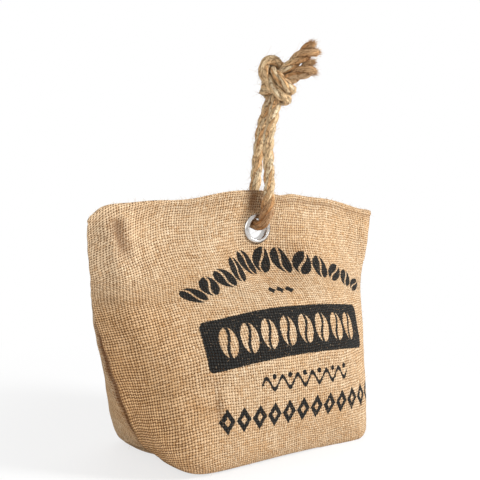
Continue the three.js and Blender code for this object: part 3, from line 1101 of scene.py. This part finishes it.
# %% Bar with bare beans
off_rise = (print_u - BAR_RISE_MIDDLE) / (BAR_WIDE / 2)
y = off_rise * off_rise * BAR_RISE + print_v - BAR_AT
number, x = repeat(print_u, BAR_PITCH, 0.5)
bare = bean(x, y, BARE_BEAN, 1.1) * within(print_u, 4 * BAR_PITCH)
past_x = do("MAXIMUM", abs(print_u) - (BAR_WIDE / 2 - BAR_CORNER), 0.0)
past_y = do("MAXIMUM", abs(y) - (BAR_HIGH / 2 - BAR_CORNER), 0.0)
bar = soft_below(distance(past_x, past_y), BAR_CORNER) * (1.0 - bare)

# %% Waved line with dots
y = print_v - WAVE_AT
wave_u = print_u - WAVE_SHIFT
swing = do("SINE", wave_u * (2 * pi / WAVE_PITCH)) * WAVE_HIGH
number, x = repeat(wave_u, WAVE_PITCH, 0.25)
above_middle = y - 4.2
dot = soft_below(x * x + above_middle * above_middle, 3.0)
wave = do("MAXIMUM", within(y - swing, 1.5), dot) * within(wave_u, WAVE_WIDE / 2)

# %% Row of lozenges
y = print_v - ROW_AT
row_u = print_u - ROW_SHIFT
number, x = repeat(row_u, ROW_PITCH, 0.5)
reach = abs(x) / LOZENGE[0] + abs(y) / LOZENGE[1]
lozenge = soft_below(reach, 1.0, 0.05) * (1.0 - soft_below(reach, 0.36, 0.05))
row = lozenge * within(row_u, (ROW_EACH_SIDE + 0.5) * ROW_PITCH)

motifs = arch
for part in (mark, bar, wave, row):
    motifs = do("MAXIMUM", motifs, part)

# %% Ink on the yarns
INK_LOW, INK_HIGH = (0.002, 0.002, 0.002), (0.036, 0.035, 0.032)

worn = s.between(s.noise(on_cloth, 700, 2.0), 0.30, 0.40, 0.80, 1.0)
ink = motifs * s.between(height, 0.05, 0.30, 0.8, 1.0) * worn
ink_shade = s.between(height, 0.30, 0.95) * s.between(streak, 0.30, 0.70, 0.4, 1.0)
ink_colour = s.blend(ink_shade, INK_LOW, INK_HIGH)
s.link(s.blend(ink, cloth_colour, ink_colour), shader.inputs["Base Color"])
s.link(s.choose(ink, 0.95, 0.82), shader.inputs["Roughness"])
add_bump(s, shader, height + streak * 0.22, 0.75 * MM)
sack.data.materials.append(cloth_material)
print("cloth material:", len(s.tree.nodes), "nodes")

# %% [markdown]
# ## What the rope's mesh tells its material
#
# Three things about each point of the rope are stored on its mesh: how far out it lies from the middle of
# the rope, how crowded it is by another part of the rope, as in the knot, and how much painted shade it
# gets. The painted shade is darkest where the rope lies on the eyelet, a little from the knot up, and
# at its cut ends, which are browner too.

# %% Depth, crowding and painted shade
rope_points = vertex_array(rope)
nearest = np.tile(np.repeat(np.arange(len(route)), AROUND), 3)  # each vertex's point of the route
outward = np.linalg.norm(rope_points - route[nearest], axis=1) / MM
depth = np.clip((outward - 1.6) / 1.9, 0, 1)

to_other = np.full(len(rope_points), 99.0)  # mm to the nearest other part of the rope
for i in range(0, len(route), 2):
    other = abs(nearest - i) > 9
    gap = np.linalg.norm(rope_points[other] - route[i], axis=1) / MM
    to_other[other] = np.minimum(to_other[other], gap)
crowded = 1 - ease(2.6, 5.0, to_other)

# painted shade: darkest low on the eyelet, a little from the knot up, and at the cut ends, which are
# browner too
shade_by_height = 0.75 * (1 - ease(9, 28, above)) + 0.08 * ease(70, 84, above)
shade_and_brown_ends = np.maximum(shade_by_height, 0.55 * (1 - ease(8, 24, from_end / MM)))[nearest]
for name, values in (("depth", depth), ("crowded", crowded), ("shade_and_brown_ends", shade_and_brown_ends)):
    rope.data.attributes.new(name, "FLOAT", "POINT").data.foreach_set("value", values)

# %% [markdown]
# ## The rope's finish
#
# The rope uses the same jute group, on each strand's own map: round it and along it. Every strand shows its
# yarns, each with its own tone, and small dark pits lie between the fibres. Painted shade darkens the edges
# of each yarn, the grooves between yarns and strands, the crowded turns of the knot, and the rope where it
# lies on the eyelet and at its cut ends, which are browner too.

# %% Rope
SHADE_AND_BROWN_END, DARK_STREAK, PIT = (0.36, 0.135, 0.035), (0.26, 0.11, 0.036), (0.22, 0.098, 0.033)
YARN_EDGE_SHADE, CROWDED_SHADE, GROOVE_SHADE = (0.16, 0.065, 0.02), (0.07, 0.026, 0.008), (0.06, 0.022, 0.007)

rope_material, s, shader = new_material("jute rope", Roughness=0.9, Specular_IOR_Level=0.25)
place = s.split(s.map_place("Strand"))
along = place[1] / YARN_TURN
yarn_place = place[0] * float(YARNS) + along
yarn_number = do("FLOOR", yarn_place)
in_yarn = do("FRACT", yarn_place) * 2.0 - 1.0
yarn_round = do("SQRT", do("MAXIMUM", in_yarn * in_yarn * -0.95 + 1.0, 0.0))
rope_streak, _ = jute(s, yarn_place * 6.0, along * 6.0, yarn_number * 7.3)
pits = s.noise(s.vector(yarn_place * 1.7, along * 5.5, 4.0), 1.0, 2.0)

colour = s.tones(s.random(do("FLOORED_MODULO", yarn_number, 15.0)),
                 (0.0, (0.94, 0.55, 0.25)), (0.35, (1.0, 0.68, 0.36)),
                 (0.7, (1.0, 0.77, 0.46)), (1.0, (1.0, 0.87, 0.60)))  # fmt: skip
# painted shade by the eyelet and the knot, and at the ends, where the rope is also browner
colour = s.blend(s.stored("shade_and_brown_ends"), colour, SHADE_AND_BROWN_END)
colour = s.blend(s.between(rope_streak, 0.40, 0.49, 0.85, 0.0), colour, DARK_STREAK)
colour = s.blend(s.between(pits, 0.53, 0.64, 0.0, 0.75), colour, PIT)
# painted shade at the edges of each yarn, in the crowded turns of the knot and deep in the grooves
colour = s.blend(s.between(yarn_round, 0.25, 0.62, 0.9, 0.0), colour, YARN_EDGE_SHADE)
colour = s.blend(s.stored("crowded") * 0.95, colour, CROWDED_SHADE)
colour = s.blend(s.between(s.stored("depth"), 0.15, 0.75, 0.97, 0.0), colour, GROOVE_SHADE)
s.link(colour, shader.inputs["Base Color"])
add_bump(s, shader, yarn_round * 0.6 + rope_streak * 1.1, 0.6 * MM)
rope.data.materials.append(rope_material)

# %% Loose fibres
fibre_material, s, shader = new_material("jute fibres", Roughness=0.8, Specular_IOR_Level=0.3)
tint = s.noise(s.object_place(), 260, 1.0)
s.link(s.tones(tint, (0.35, (0.34, 0.18, 0.075)), (0.65, (0.72, 0.50, 0.28))), shader.inputs["Base Color"])
for piece in (fibres, cloth_fibres):
    piece.data.materials.append(fibre_material)

# %% [markdown]
# ## The eyelet's metal
#
# Bright nickel plate, never a perfect mirror: fine scratches run round it where the rope rubs, and it is a
# little duller in patches. The scratches only change its roughness and, very slightly, its surface.

# %% Nickel
BRIGHT, DULL = (0.54, 0.52, 0.50), (0.47, 0.45, 0.43)

nickel, s, shader = new_material("nickel", Metallic=1.0)
where = s.object_place()
x, y, z = s.split(where)
above_middle = z - EYELET.z
round_axis = do("ARCTAN2", x, above_middle)
scratch = s.noise(s.vector(distance(x, above_middle) * 9000.0, round_axis * 3.0, 0.0), 1.0, 3.0)
dull = s.noise(where, 240, 2.0)
roughness = s.between(dull, 0.35, 0.75, 0.20, 0.29) + s.between(scratch, 0.5, 0.8, 0.0, 0.06)
s.link(s.blend(s.between(dull, 0.45, 0.75), BRIGHT, DULL), shader.inputs["Base Color"])
s.link(roughness, shader.inputs["Roughness"])
add_bump(s, shader, scratch, 0.01 * MM)
for piece in (eyelet, washer):
    piece.data.materials.append(nickel)

# %% [markdown]
# ## Floor, lights and background
#
# The photo has a pure white background and soft light with its main source on the right. The floor is a
# pale plane that keeps the shadow. Further out it turns plain white for the camera, as the world behind it
# is for the camera and in the metal. The lamps are large and at a plain level.

# %% Floor
SHADOW_PART, WHITE_FROM = 0.13, 0.34  # m from the middle: the floor's own colour, then plain white

deselect()
bpy.ops.mesh.primitive_circle_add(vertices=96, radius=6, fill_type="TRIFAN", location=(0, 0, -0.0004))
floor = bpy.context.object
floor.name = "floor"
paper, s, shader = new_material("pale floor", Roughness=0.9, Specular_IOR_Level=0.1)
shader.inputs["Base Color"].default_value = (0.90, 0.90, 0.90, 1)
x, y, z = s.split(s.object_place())
whiter = s.between(distance(x, y), SHADOW_PART, WHITE_FROM, 0.72, 1.0)
seen = Value(s.add("LightPath").outputs["Is Camera Ray"])
both = s.add("MixShader", whiter * seen, Value(shader.outputs[0]), Value(s.add("Emission").outputs[0]))
s.link(Value(both.outputs[0]), s.tree.nodes["Material Output"].inputs[0])
floor.data.materials.append(paper)


# %% Lights
def area_light(name, place, size, power):
    """A round lamp that points at the object."""
    light = bpy.data.lights.new(name, "AREA")
    light.shape, light.size, light.energy = "DISK", size, power
    lamp = bpy.data.objects.new(name, light)
    lamp.location = place
    lamp.rotation_euler = (Vector((0, 0, 0.10)) - Vector(place)).to_track_quat("-Z", "Y").to_euler()
    bpy.context.scene.collection.objects.link(lamp)


area_light("main light, right", (0.76, -0.78, 0.64), 0.30, 17.0)
area_light("fill, left", (-1.0, -0.5, 0.5), 0.9, 5.1)
area_light("top", (0.1, 0.25, 1.2), 0.8, 3.4)

# %% Background
SOFT_LIGHT = 0.37  # the strength of the light that the world gives

world = bpy.data.worlds.new("studio")
bpy.context.scene.world = world
world.use_nodes = True
s = Sheet(world.node_tree)
rays = s.add("LightPath").outputs
direct = Value(rays["Is Camera Ray"])
for kind in ("Is Transmission Ray", "Is Glossy Ray"):
    direct = do("MAXIMUM", direct, Value(rays[kind]))
background = s.tree.nodes["Background"]
background.inputs["Color"].default_value = (1, 1, 1, 1)
s.link(s.choose(direct, SOFT_LIGHT, 1.0), background.inputs["Strength"])
bpy.context.scene.view_settings.view_transform = "Standard"
